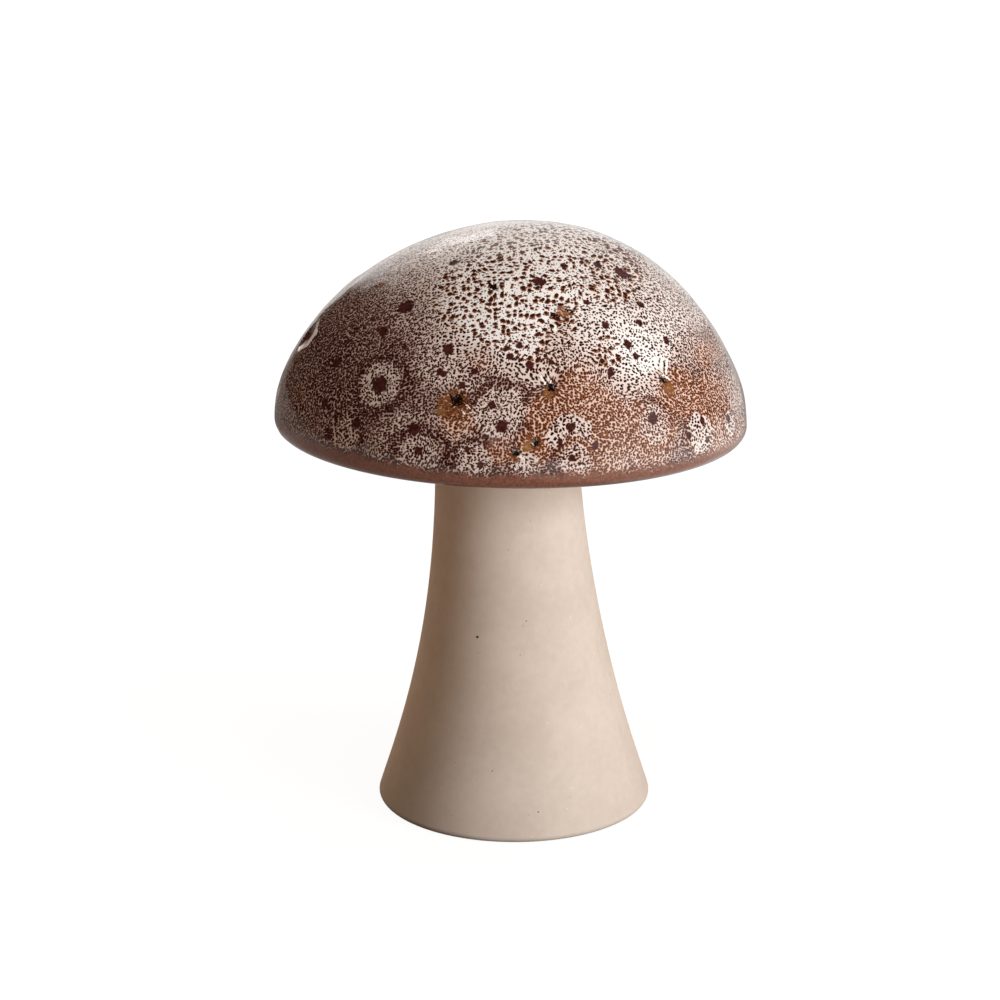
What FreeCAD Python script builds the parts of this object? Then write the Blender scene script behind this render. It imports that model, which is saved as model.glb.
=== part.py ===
"""Ceramic mushroom ornament: a hollow glazed cap joined with slip to a hollow, unglazed, flared stem.

Millimetres, +Z up. The origin is on the resting plane, under the middle of the cap's rim.
Both castings are round at every height, but each leans a little, as hand-finished ware does:
the centres of its circles drift along X as they rise. The cap also sits slightly turned about
Y on its stem. The pieces are the stem, the cap's fired clay, its glaze and the joining slip.
"""

import FreeCAD
import Part

import math
import os

# Stem casting
FOOT_RADIUS = 35.8
NECK_RADIUS = 18.15
FLARE_HEIGHT = 11.0  # the flare is straight up to here, then the long hollow sweep begins
SHOULDER_HEIGHT = 103.3  # the stem's upper face, on which the cap is bedded
NECK_LENGTH = 2.6  # the plain upright neck, between the sweep and the shoulder
STEM_WALL = 4.6
STEM_FLOOR = 5.0
STEM_LEAN = 1.9  # the neck's centre lies this far to the left of the foot's
STEM_LEAN_POWER = 1.6  # the higher it is, the later the stem starts to lean
STEM_OFFSET = 0.95  # the foot's centre lies this far to the right of the cap's
FOOT_ROUNDING = 1.2
FOOT_RING_WIDTH = 7.5
FOOT_RECESS = 1.4  # the floor inside the foot ring is raised by this
POUR_HOLE_RADIUS = 8.0
SPIGOT_STEP = 2.2  # the spigot is this much smaller all round than the neck
SPIGOT_STANDOUT = 1.6  # the spigot stands this far into the cap's hollow

# Cap casting, measured over its glaze
CAP_RADIUS = 59.8
BROW_RADIUS = 28.1  # of the tighter curve above the widest circle, in side view
CROWN_SPREAD = 2.6  # the wide curve over the top, in side view, is this much wider than the cap
RIM_ROUNDING = 3.1  # of the rim, below the widest circle
UNDERSIDE_RISE = 3.6  # the underside dishes up by this towards the stem
CAP_WALL = 4.8
CAP_LEAN = 3.9  # the crown's top lies this far to the right of the widest circle's centre
CAP_LEAN_POWER = 3.2
CAP_TURN = 1.03  # degrees about Y, right side down

# Glaze and joint
GLAZE_THICKNESS = 0.7
BARE_BAND = 3.4  # the glaze stops this far outside the neck
SLIP_GAP = 0.5  # thickness of the fired joining slip
SEAT_DEPTH = 0.8  # the seat is trimmed this deep into the middle of the bare underside
SEAT_MARGIN = 1.0  # the seat is this much wider all round than the neck
COVE_DROP = 1.3  # the smoothed slip runs this far down the neck below the shoulder

# How the leaning surfaces are drawn
STEM_SECTIONS = 12
BROW_SECTIONS = 5
CROWN_SECTIONS = 9
APEX_SHARE = 0.12  # of the crown's arc, left between the last circle and the top
COVE_MIDDLE_SHARE = 0.3  # how far the middle of the slip's cove lies out from its corner
OVERRUN = 2.0  # cutters reach this far past what they cut

UP = FreeCAD.Vector(0, 0, 1)
ALONG_Y = FreeCAD.Vector(0, 1, 0)


# Shared helpers


def point(x, z):
    return FreeCAD.Vector(x, 0, z)


def circle(x, z, radius):
    return Part.Wire([Part.Circle(point(x, z), UP, radius).toShape()])


def upright(radius, low, high, x):
    """A vertical cylinder about x, from low to high."""
    return Part.makeCylinder(radius, high - low, point(x, low), UP)


def line(start, end):
    return Part.LineSegment(start, end).toShape()


def arc(start, middle, end):
    return Part.Arc(start, middle, end).toShape()


def turned(edges):
    """A closed outline right of the Z axis, drawn anticlockwise, turned into a solid about it."""
    return Part.Face(Part.Wire(edges)).revolve(point(0, 0), UP, 360)


# Stem


def sweep_top():
    return SHOULDER_HEIGHT - NECK_LENGTH


def flare_angle():
    """The straight flare's angle from the vertical, which lets the sweep start tangent to it."""
    half_tangent = 0
    for _ in range(8):
        straight = 2 * FLARE_HEIGHT / (1 - half_tangent**2)
        half_tangent = (FOOT_RADIUS - NECK_RADIUS) / (sweep_top() - FLARE_HEIGHT + straight)
    return 2 * math.atan(half_tangent)


def stem_radius(z):
    """The straight flare, then an arc tangent to it that ends upright at the neck."""
    angle = flare_angle()
    if z <= FLARE_HEIGHT:
        return FOOT_RADIUS - z * math.tan(angle)
    sweep = (sweep_top() - FLARE_HEIGHT) / math.sin(angle)
    below = sweep_top() - z
    return NECK_RADIUS + sweep - math.sqrt(sweep**2 - below**2)


def stem_centre(z):
    """The lean starts upright at the foot and ends upright at the neck."""
    share = (z / sweep_top()) ** STEM_LEAN_POWER
    return STEM_OFFSET - STEM_LEAN * share**2 * (3 - 2 * share)


def neck_x():
    return stem_centre(sweep_top())


def stem_form(low, top, inset):
    """The stem from one height to another, with its side moved in by inset."""
    sections = []
    for i in range(STEM_SECTIONS):
        z = low + (sweep_top() - low) * i / (STEM_SECTIONS - 1)
        sections.append(circle(stem_centre(z), z, stem_radius(z) - inset))
    neck = upright(NECK_RADIUS - inset, sweep_top(), top, neck_x())
    return Part.makeLoft(sections, True, False).fuse(neck)


def spigot_radius():
    return NECK_RADIUS - SPIGOT_STEP


def spigot_top():
    return seat_height() + CAP_WALL - SEAT_DEPTH + SPIGOT_STANDOUT


def make_stem():
    """Cast hollow and open at both ends, so that the cap breathes through the foot."""
    outside = stem_form(0, SHOULDER_HEIGHT, 0)
    foot_edges = [edge for edge in outside.Edges if edge.BoundBox.ZMax < FOOT_ROUNDING]
    outside = outside.makeFillet(FOOT_ROUNDING, foot_edges)
    spigot = upright(spigot_radius(), SHOULDER_HEIGHT - OVERRUN, spigot_top(), neck_x())
    floor_top = FOOT_RECESS + STEM_FLOOR
    hollow = stem_form(floor_top, spigot_top() + OVERRUN, STEM_WALL)
    recess = upright(FOOT_RADIUS - FOOT_RING_WIDTH, -OVERRUN, FOOT_RECESS, STEM_OFFSET)
    pour_hole = upright(POUR_HOLE_RADIUS, -OVERRUN, floor_top + OVERRUN, STEM_OFFSET)
    return outside.fuse(spigot).cut([hollow, recess, pour_hole])


# Cap


def crown_radius():
    return CAP_RADIUS + CROWN_SPREAD


def brow_end():
    """Where the brow's arc runs into the crown's, as an angle above the horizontal."""
    return math.acos((CAP_RADIUS - BROW_RADIUS) / (crown_radius() - BROW_RADIUS))


def crown_middle():
    """The height of the crown's arc's own centre, from the widest circle: below it."""
    return -(crown_radius() - BROW_RADIUS) * math.sin(brow_end())


def dome_sections(inset):
    """Radius and height above the widest circle of the dome's circles, with inset taken off."""
    sections = []
    brow = BROW_RADIUS - inset
    for i in range(BROW_SECTIONS):
        angle = brow_end() * i / BROW_SECTIONS
        sections.append((CAP_RADIUS - BROW_RADIUS + brow * math.cos(angle), brow * math.sin(angle)))
    crown = crown_radius() - inset
    crown_arc = (math.pi / 2 - brow_end()) * (1 - APEX_SHARE)
    for i in range(CROWN_SECTIONS):
        angle = brow_end() + crown_arc * i / (CROWN_SECTIONS - 1)
        sections.append((crown * math.cos(angle), crown_middle() + crown * math.sin(angle)))
    return sections


def cap_centre(height):
    """How far the dome's circle at this height above the widest one has drifted."""
    return CAP_LEAN * (height / (crown_middle() + crown_radius())) ** CAP_LEAN_POWER


def dome(inset):
    """The cap above its widest circle, with its surface moved in by inset."""
    sections = [circle(cap_centre(height), height, radius) for radius, height in dome_sections(inset)]
    top = crown_middle() + crown_radius() - inset
    sections.append(Part.Vertex(point(cap_centre(top), top)))
    return Part.makeLoft(sections, True, False)


def dish_radius():
    """The underside is part of a wide sphere, which runs tangent into the rim's rounding."""
    corner_x = CAP_RADIUS - RIM_ROUNDING
    middle = UNDERSIDE_RISE - RIM_ROUNDING
    return (corner_x**2 + middle**2 - RIM_ROUNDING**2) / (2 * UNDERSIDE_RISE)


def rim(inset):
    """The cap's edge below its widest circle, rounded inwards, before the dish is cut."""
    corner = RIM_ROUNDING - inset
    corner_x = CAP_RADIUS - RIM_ROUNDING
    slant = corner * math.sin(math.pi / 4)
    edges = [
        line(point(0, 0), point(0, -corner)),
        line(point(0, -corner), point(corner_x, -corner)),
        arc(point(corner_x, -corner), point(corner_x + slant, -slant), point(corner_x + corner, 0)),
        line(point(corner_x + corner, 0), point(0, 0)),
    ]
    return turned(edges)


def rim_height():
    """The widest circle's height, which puts the trimmed seat on the stem's shoulder and slip."""
    middle = UNDERSIDE_RISE - RIM_ROUNDING
    return seat_height() - SEAT_DEPTH - GLAZE_THICKNESS - middle


def cap_form(inset):
    """The whole cap in its place, solid, with its surface moved in by inset."""
    form = dome(inset)
    if inset < RIM_ROUNDING:
        form = form.fuse(rim(inset))
    middle = UNDERSIDE_RISE - RIM_ROUNDING
    dish = Part.makeSphere(dish_radius() + inset, point(0, middle - dish_radius()))
    form = form.cut(dish)
    form.rotate(point(0, 0), ALONG_Y, CAP_TURN)
    form.translate(point(0, rim_height()))
    return form


def make_cap_body():
    """The fired clay: hollow, with a seat trimmed into its underside and a socket through it."""
    low = rim_height() - RIM_ROUNDING - OVERRUN
    seat = upright(NECK_RADIUS + SEAT_MARGIN, low, seat_height(), neck_x())
    socket = upright(spigot_radius() + SLIP_GAP, low, spigot_top() + OVERRUN, neck_x())
    hollow = cap_form(GLAZE_THICKNESS + CAP_WALL)
    return cap_form(GLAZE_THICKNESS).cut([hollow, seat, socket])


def make_cap_glaze():
    """The glass coat over the dome, the rim and the underside, bare near the neck."""
    low = rim_height() - RIM_ROUNDING - OVERRUN
    bare = upright(NECK_RADIUS + BARE_BAND, low, seat_height(), neck_x())
    return cap_form(0).cut([cap_form(GLAZE_THICKNESS), bare])


# Joint


def seat_height():
    return SHOULDER_HEIGHT + SLIP_GAP


def make_joining_slip():
    """A sleeve round the spigot, a disc on the shoulder and a cove smoothed down the neck."""
    sleeve_top = seat_height() + CAP_WALL - SEAT_DEPTH
    inside = spigot_radius()
    outside = NECK_RADIUS + SEAT_MARGIN
    cove_low = SHOULDER_HEIGHT - COVE_DROP
    cove_x = NECK_RADIUS + COVE_MIDDLE_SHARE * SEAT_MARGIN
    cove_z = seat_height() - COVE_MIDDLE_SHARE * (COVE_DROP + SLIP_GAP)
    corners = [
        point(outside, seat_height()),
        point(inside + SLIP_GAP, seat_height()),
        point(inside + SLIP_GAP, sleeve_top),
        point(inside, sleeve_top),
        point(inside, SHOULDER_HEIGHT),
        point(NECK_RADIUS, SHOULDER_HEIGHT),
        point(NECK_RADIUS, cove_low),
    ]
    edges = [line(start, end) for start, end in zip(corners, corners[1:])]
    edges.append(arc(corners[-1], point(cove_x, cove_z), corners[0]))
    slip = turned(edges)
    slip.translate(point(neck_x(), 0))
    return slip


def main():
    os.makedirs("parts", exist_ok=True)
    pieces = {
        "stem": make_stem(),
        "cap_body": make_cap_body(),
        "cap_glaze": make_cap_glaze(),
        "joining_slip": make_joining_slip(),
    }
    for name, shape in pieces.items():
        print(name, "valid", shape.isValid(), "solids", len(shape.Solids), "volume", round(shape.Volume))
        shape.exportStep("parts/" + name + ".step")


main()
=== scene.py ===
"""Looks of the ceramic mushroom ornament: reactive glaze on the cap and bare fired clay on the stem.

The shapes are worked out in millimetres and turned into metres when a mesh is made. Positions that
were read from the photograph are named pixels of its 1000 by 1000 frame.
"""

import math
from functools import partialmethod

import bpy
import numpy as np
from mathutils import Color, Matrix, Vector, noise
from mathutils.bvhtree import BVHTree

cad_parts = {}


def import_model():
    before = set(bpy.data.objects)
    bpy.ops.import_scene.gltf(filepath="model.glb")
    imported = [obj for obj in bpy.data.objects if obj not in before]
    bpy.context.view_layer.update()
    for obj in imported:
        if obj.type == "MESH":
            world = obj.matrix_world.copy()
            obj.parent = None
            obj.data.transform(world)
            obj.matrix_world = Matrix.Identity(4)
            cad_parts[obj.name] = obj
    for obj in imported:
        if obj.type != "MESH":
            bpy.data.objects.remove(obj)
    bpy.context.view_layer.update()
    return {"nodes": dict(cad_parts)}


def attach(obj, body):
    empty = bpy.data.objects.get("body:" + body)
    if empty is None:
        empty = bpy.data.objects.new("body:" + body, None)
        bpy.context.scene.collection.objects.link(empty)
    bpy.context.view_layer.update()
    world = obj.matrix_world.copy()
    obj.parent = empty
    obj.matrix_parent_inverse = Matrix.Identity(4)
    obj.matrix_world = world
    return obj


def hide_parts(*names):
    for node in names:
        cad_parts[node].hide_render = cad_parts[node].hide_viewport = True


MM = 0.001
PHOTO_WIDTH = 1000
SEED = 7
SEED_SHIFT = np.array([17.3, 5.1, 9.7])
FULL_COLOUR = 255

# Cap, over its glaze
CAP_RADIUS = 59.8
BROW_RADIUS = 28.1
CROWN_RADIUS = 62.4
RIM_ROUNDING = 3.1
UNDERSIDE_RISE = 3.6
CAP_LEAN = 3.9
CAP_LEAN_POWER = 3.2
CAP_TURN = math.radians(1.03)
RIM_HEIGHT = 101.8
GLAZE_THICKNESS = 0.7
BARE_RADIUS = 21.55  # the glaze stops here, under the cap
NECK_X = -0.95
TOP = 60  # above all of the cap, counted from its widest circle
BROW_END = math.acos((CAP_RADIUS - BROW_RADIUS) / (CROWN_RADIUS - BROW_RADIUS))
CROWN_MIDDLE = -(CROWN_RADIUS - BROW_RADIUS) * math.sin(BROW_END)
CROWN_TOP = CROWN_MIDDLE + CROWN_RADIUS
CORNER_RADIUS = CAP_RADIUS - RIM_ROUNDING  # of the circle that the rim is rounded about
DISH_TOP = UNDERSIDE_RISE - RIM_ROUNDING
DISH_RADIUS = (CORNER_RADIUS**2 + DISH_TOP**2 - RIM_ROUNDING**2) / (2 * UNDERSIDE_RISE)
UNDERSIDE_LIMIT = 1  # inside the corner, the underside lies below this and the dome above it

# Cap mesh
DOME_STEP = 0.56  # spacing of the dome's points
UNDERSIDE_STEP = 1.6
FEWEST_POINTS = 6  # of a ring

# Relief of the glaze, as heights unless they say otherwise
WAVE_HEIGHT, WAVE_PERIOD = 0.17, 8
RIPPLE_HEIGHT, RIPPLE_PERIOD = 0.03, 3.4
STREAK_HEIGHT = 0.18
LIP_HEIGHT, LIP_MIDDLE_SHARE, LIP_WIDTH_SHARE = 0.16, 1.9, 0.9  # lips round the blisters, by the pit's radius
PIT_DEPTH, PIT_WIDTH_SHARE = 0.5, 0.8
SPOT_DIP = 0.07
DENT_DEPTH, DENT_WIDTH_SHARE, DENT_POWER = 0.46, 0.85, 4
DENT_LIP_HEIGHT, DENT_LIP_MIDDLE_SHARE, DENT_LIP_WIDTH_SHARE = 0.10, 1.2, 0.25
RELIEF_START = -2.5  # it grows from nothing here to its full height at the widest circle
HIGHEST = 0.16
SURFACE_DROP = 0.17  # the surface lies this much deeper, so that the relief stays inside the solid

# Camera
CAMERA_TARGET = (-2.71, 0, 79.6)
CAMERA_DISTANCE = 689.85
CAMERA_ELEVATION = math.radians(16.13)
CAMERA_LENS = 97.2
CAMERA_SENSOR = 36.0
FOCAL = CAMERA_LENS / CAMERA_SENSOR * PHOTO_WIDTH  # pixels
RIGHT = np.array([1.0, 0, 0])
FORWARD = np.array([0, math.cos(CAMERA_ELEVATION), -math.sin(CAMERA_ELEVATION)])
UP = np.cross(RIGHT, FORWARD)
CAMERA_PLACE = np.array(CAMERA_TARGET) - CAMERA_DISTANCE * FORWARD

# Studio, in metres
FLOOR_HALF_WIDTH = 4.0
FLOOR_DROP = 0.00005  # so that the foot doesn't lie in the floor's own plane
LAMP_AIM = 0.07
LAMP_TINT = (1.0, 0.98, 0.96)
# Azimuth and elevation in degrees, distance, width and power
LAMPS = {"key": (52, 12, 1.2, 0.7, 14.6), "top": (20, 80, 1.2, 0.8, 4.0)}
FILL_ROUND = 0.86  # how strong the fill is all round, and how much more there is behind
FILL_BEHIND = 3.2
FILL_REAR_LEFT = 14.0
FILL_REAR_LEFT_POWER = 6.0

# Light that the floor gives back: near the object, and farther off on either side
FLOOR_NEAR = (0.05, 0.04, 0.03, 1)
FLOOR_RIGHT = (0.32, 0.26, 0.20, 1)
FLOOR_LEFT = (0.60, 0.49, 0.40, 1)
FLOOR_SHOWN = (0.12, 0.12, 0.12, 1)  # for the lamps and shadows, where it is seen or mirrored
NEAR_RIGHT_BRIGHTNESS = 0.95
FLOOR_SLANT = 0.3

# What the glaze mirrors
WINDOW_BRIGHTNESS = 1.2
BACKDROP_SLANT = 0.35
PANEL_SLANT = 0.3
DARKEST = 0.01

# Flat maps that the glaze pattern is drawn on
CHART_ELEVATION = math.radians(38)  # they are drawn from this high
CHART_LEAST = 0.02  # keeps the far side of a map from running to infinity
CHART_WAVES = ((0.3, 4.0, 15), (1.2, 10, 17))  # shift, period and seed
DRAWN_REACH_SHARE = 2.0  # of the pit's radius, by which the pattern is drawn out round a blister
DRAWN_REACH = 2.5  # and what is added to it
DRAWN_NEAREST = 0.3
DRAWN_EDGE_SHARE = 0.3
PATTERN_PERIODS = (11, 4.5)
PATTERN_SHIFT_SHARE = 0.12  # of the period
PATTERN_SEED = 4

# Web of white glaze round dark dots, and the larger holes
WEB_SCALES = (1.26, 1.75)  # dark dots for each millimetre, where the glaze is white and where it isn't
HOLE_SCALE = 0.60  # larger holes for each millimetre of the white part
WEB_RANDOMNESS = 0.94
HOLE_RANDOMNESS = 0.85
DRIFT = 2.0  # millimetres by which the glaze has drawn its pattern to and fro
HOLE_DRIFT = 3.4
DOT_RADIUS = 0.70  # of the dots, in their spacing, where nothing is white
DOT_SHRINK = -0.54  # what it loses where all is white
DOT_VARIATION = 0.22
RAGGED_EDGE = 0.36
HOLE_TILT = (-0.12, -0.26, 0.0)  # the side on which the wall of a hole shows
HOLEY_SHARE = 0.14  # how much whiter the web is between the holes
CORE_WAVE = 0.4
WARM_CORE = 0.08
THICK_CORE_SHARE = 0.8

# Shares in which one thing shows over another, and weights of the noises at their edges
PATCHY_WEIGHT = 0.16
AMBER_BARE_SHARE = 0.34
AMBER_SHARE = 0.5
YELLOW_SHARE = 0.75
RIM_LINE_SHARE = 0.6
UNEVEN_WEIGHTS = {"above_band": 3.4, "amber": 1.8, "warm": 0.7, "yellow": 1.4, "spot": 1.3, "pit": 3.4}
STROKE_SHIFT = (0.5, 0.5, 0.5)
SKIN_HEIGHT, SKIN_STRENGTH = 0.00016, 0.7  # metres
BOWL_HEIGHT = 0.0028
GLAZE_ROUGHNESS = 0.09
GLAZE_IOR = 1.5

# Clay
MOTTLE_WEIGHT = 0.6
BLOTCH_WEIGHT = 0.8
FOOT_SHADE_WAVE = 4.0  # millimetres by which the edge of the painted shade at the foot goes up and down
CLAY_DOTS = {"pore": (0.25, 0.4), "speck": (0.19, 0.6)}  # dots for each millimetre, and how strong they are
PINHOLE_SHARE = 0.93
PINHOLE_DEPTH = 3.0
GRAIN_WEIGHT = 0.5
CLAY_BUMP_STRENGTH = 0.5
CLAY_ROUGHNESS = 0.85
# How strong the painted shade towards the foot of the stem is, standing in for the shadow by the floor
FOOT_SHADE_SHARE = 0.15
CLAY_GRAIN = 0.00006  # metres
SLIP_GRAIN = 0.00010

# Noises: features for each millimetre, detail, then distortion and roughness if not 0 and 0.5
NOISES = {
    "blotches": (0.06, 2, 0.4), "grain": (2.6, 3, 0, 0.7), "mottle": (0.45, 3, 0.2, 0.6),
    "patchy": (0.22, 1), "drift": (0.14, 2), "ragged": (2.2, 1), "core": (0.8, 2),
    "above_band": (0.5, 2), "rim_tone": (1.4, 3, 0, 0.6), "amber": (1.3, 3),
    "amber_tone": (1.9, 3, 0.3, 0.6), "yellow": (2.4, 3, 0, 0.65), "warm": (0.16, 2),
    "spot": (1.2, 2), "pit": (1.9, 2), "shake": (1.7, 1), "skin": (0.36, 2),
}

# Smooth steps: where each begins and ends, and what it gives there if not 0 and 1
STEPS = {
    # clay, and the painted shade towards the foot of the stem, by its height in millimetres
    "clay_shade": (0.5, 0.92), "clay_grain": (0.3, 0.75, 0, 0.35), "handled": (14, 3),
    "pore": (0.07, 0.03), "speck": (0.06, 0.03), "pinhole": (1.15, 0.75),
    # web and holes
    "coarse_web": (0.4, 0.64), "web_edge": (0.05, -0.05), "rear_chart": (0.44, 0.4),
    "holes_thicken": (0.5, 0.75), "hole_radius": (0, 1, 0.2, 0.45), "holes_in_white": (0.48, 0.62),
    "holes_here": (0.2, 0.6), "holes_shrink": (0, 1, -0.2, 0), "hole_edge": (-0.03, 0.02),
    "holes_fade": (0, 0.3), "hole_middle": (0.04, 0.18), "thick": (0.34, 0.58), "core": (-0.06, 0.1),
    "pale": (0.28, 0.5), "white": (0.54, 0.78),
    # other features of the glaze
    "above_rim": (1, 4.2), "rim": (3.6, 1.4), "rim_line": (-2.5, -3), "mottled": (0.36, 0.64),
    "amber": (1.3, 1.75), "warm": (0.55, 1.05), "yellow": (0.85, 2.1), "spot": (1.85, 1.5),
    "spot_tone": (0.4, 0.6), "pit": (2.75, 2.5), "dent": (1, 0.75), "bowl": (0.2, 1.5),
    "stroke": (1.2, 0.8),
    # floor, by the place on it in metres
    "floor_left": (0, -0.12), "floor_away": (0.04, 0.16), "floor_white": (0.05, 0.45, 0.94, 1),
    "mirrored_x": (0.05, 0.45, 0.38, 1.7), "mirrored_y": (0.2, 0.4, 1, 0.38),
    "near_right_x": (0.02, 0.09), "near_right_y": (0.22, 0.12),
    "behind_y": (0.3, 0.8, 0, 0.55), "behind_x": (-0.06, 0.06),
    # mirrored studio and fill, by the direction
    "backdrop_y": (0.5, 0.85), "backdrop_x": (0.05, 0.25, 1, 0.45), "backdrop_end": (-0.34, -0.22),
    "edge_y": (0.88, 0.96, 0, 1.1), "edge_x": (0, 0.35, 1, 0.6),
    "window_left": (-0.26, -0.2), "window_right": (-0.03, -0.09),
    "window_low": (0.28, 0.32), "window_high": (0.52, 0.46),
    "low_z": (-0.25, 0.1, 0.35, 1), "low_x": (-0.05, 0.1),
    "panel_x": (0.5, 0.75), "panel_y": (0.2, -0.15), "panel_z": (0.8, 0.1, 0, 1.35),
    "fill_left": (0.1, -0.1),
}

# Colours as the display shows them
COLOURS = {
    "fill": (134, 113, 94),
    "stem": (226, 215, 205), "stem_shade": (216, 204, 193), "cap_clay": (219, 203, 187),
    "cap_clay_shade": (203, 186, 169), "slip": (212, 195, 177), "slip_shade": (192, 173, 154),
    # The first colour on this line is painted shade for the foot of the stem
    "handled": (192, 174, 158), "pore": (160, 136, 118), "speck": (244, 237, 228), "pinhole": (40, 28, 22),
    "maroon_ground": (98, 60, 53), "warm_ground": (130, 78, 51), "thick_ground": (112, 66, 46),
    "maroon_core": (44, 19, 15), "warm_core": (66, 29, 14), "thick_core": (44, 17, 10),
    "hole_edge": (150, 98, 68), "hole_middle": (56, 24, 15), "maroon_web": (188, 167, 160),
    "warm_web": (222, 198, 186), "pale_web": (224, 210, 205), "white_web": (246, 245, 245),
    "rim": (138, 87, 63), "rim_shade": (114, 69, 52), "rim_line": (92, 58, 48),
    "amber": (166, 108, 64), "amber_shade": (84, 44, 24), "yellow": (176, 132, 82),
    "spot": (58, 25, 22), "spot_light": (80, 40, 36), "pit": (20, 12, 8), "dent": (92, 46, 42),
    # The last colour is the white of the glaze drops, also used for the painted highlights and reflections
    "crack": (30, 14, 9), "drop": (252, 250, 247),
}

# Share of the glaze that has turned white: x, y and reach in pixels, then the share
WHITE_AREAS = (
    (540, 235, 26, 0.8), (480, 268, 22, 0.76), (440, 262, 20, 0.66), (400, 290, 18, 0.42),
    (415, 268, 14, 0.58), (360, 318, 18, 0.3), (335, 350, 16, 0.14), (375, 345, 14, 0.34),
    (300, 380, 14, 0.26), (295, 405, 14, 0.3), (325, 425, 16, 0.32), (330, 392, 14, 0.2),
    (352, 408, 12, 0.24), (396, 350, 12, 0.16), (405, 383, 10, 0.16), (412, 335, 14, 0.44),
    (432, 368, 16, 0.5), (452, 345, 12, 0.56), (480, 362, 12, 0.36), (500, 325, 24, 0.8),
    (545, 285, 24, 0.8), (600, 290, 24, 0.67), (650, 305, 22, 0.63), (600, 335, 20, 0.68),
    (633, 352, 18, 0.82), (655, 340, 14, 0.68), (563, 312, 5, 0.38), (690, 350, 10, 0.5),
    (706, 352, 9, 0.28), (722, 356, 8, 0.44), (735, 395, 12, 0.5), (720, 375, 8, 0.42),
    (714, 397, 8, 0.22), (675, 392, 12, 0.16), (688, 405, 10, 0.2), (650, 392, 10, 0.52),
    (628, 392, 12, 0.58), (612, 372, 14, 0.6), (565, 345, 14, 0.46), (590, 375, 12, 0.36),
    (600, 402, 14, 0.17), (565, 398, 14, 0.17), (545, 372, 8, 0.54), (520, 350, 12, 0.7),
    (530, 372, 10, 0.58), (545, 412, 12, 0.16), (470, 405, 12, 0.46), (505, 380, 14, 0.42),
    (440, 402, 10, 0.22), (456, 420, 8, 0.12), (430, 425, 12, 0.4), (412, 440, 14, 0.46),
    (440, 450, 12, 0.44), (470, 440, 12, 0.44), (500, 447, 8, 0.2), (480, 470, 10, 0.5),
    (360, 440, 14, 0.34), (390, 455, 14, 0.42), (625, 420, 14, 0.21), (600, 440, 16, 0.31),
    (650, 445, 18, 0.35), (620, 455, 14, 0.36), (690, 420, 10, 0.4), (680, 380, 10, 0.26),
    (548, 448, 8, 0.16), (525, 480, 10, 0.2), (745, 420, 10, 0.4),
)
# Round pale patches: x, y, radius in pixels, then the share of white in them
PALE_PATCHES = (
    (501, 413, 27, 0.5), (379, 384, 25, 0.52), (571, 437, 25, 0.54), (702, 434, 21, 0.62),
    (525, 466, 14, 0.52), (655, 424, 20, 0.46), (731, 424, 14, 0.6), (418, 458, 24, 0.46),
    (475, 462, 19, 0.5), (672, 396, 5, 0.1), (575, 462, 18, 0.5), (345, 436, 18, 0.42),
)
# Round maroon spots: x, y, radius in pixels
MAROON_SPOTS = (
    (379, 384, 9.5), (405, 306, 9), (383, 331, 6), (336, 363, 5), (356, 423, 5), (414, 429, 6.5),
    (324, 402, 5), (418, 451, 4.5), (480, 465, 3.5), (502, 426, 6.5), (530, 365, 4.5), (539, 281, 7),
    (623, 273, 8.5), (653, 418, 6), (571, 427, 5), (572, 458, 4), (561, 446, 3), (560, 441, 3),
    (729, 418, 4.5), (703, 420, 4), (690, 436, 4.5), (708, 440, 3.5), (743, 414, 3), (628, 344, 5),
    (636, 356, 3.5), (667, 340, 4.5), (606, 324, 4.5), (641, 304, 4.5), (611, 372, 4.5), (598, 264, 5),
    (440, 372, 4), (448, 349, 6), (492, 405, 4), (462, 385, 4), (444, 374, 3.5), (596, 445, 4.5),
    (454, 262, 5), (564, 265, 4.5), (404, 347, 3), (551, 362, 3), (519, 345, 4), (510, 356, 4),
    (474, 371, 4), (506, 348, 3.5), (467, 449, 3.5), (587, 302, 3.5), (521, 469, 2.5), (640, 322, 4),
)
# The part with the larger holes: x, y and reach in pixels
HOLE_AREAS = (
    (520, 290, 48), (470, 300, 26), (560, 250, 36), (540, 330, 26), (606, 352, 12), (610, 268, 27),
)
# Burst blisters: x, y, radius in pixels of the pit, then how far the pattern is drawn out round it
BLISTERS = (
    (457, 400, 7, 0.1), (494, 287, 5, 0.1), (551, 387, 4.5, 0.3), (536, 443, 4, 0.1), (516, 453, 4, 0.1),
    (664, 379, 4, 0.3),
)
# Amber glaze round the blisters: x, y and reach in pixels, then the share of yellow in it
AMBER_AREAS = (
    (455, 404, 18, 0.1), (441, 403, 5, 0.5), (441, 411, 6, 0.8), (563, 312, 8, 0.4), (551, 391, 8, 0.1),
    (547, 394, 5, 0.7), (535, 444, 9, 0.2), (527, 447, 5.5, 1), (515, 457, 7, 0.1), (667, 385, 9, 0.2),
    (670, 390, 9, 0.6), (298, 393, 5, 0.3), (383, 284, 6, 0.1),
)
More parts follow.
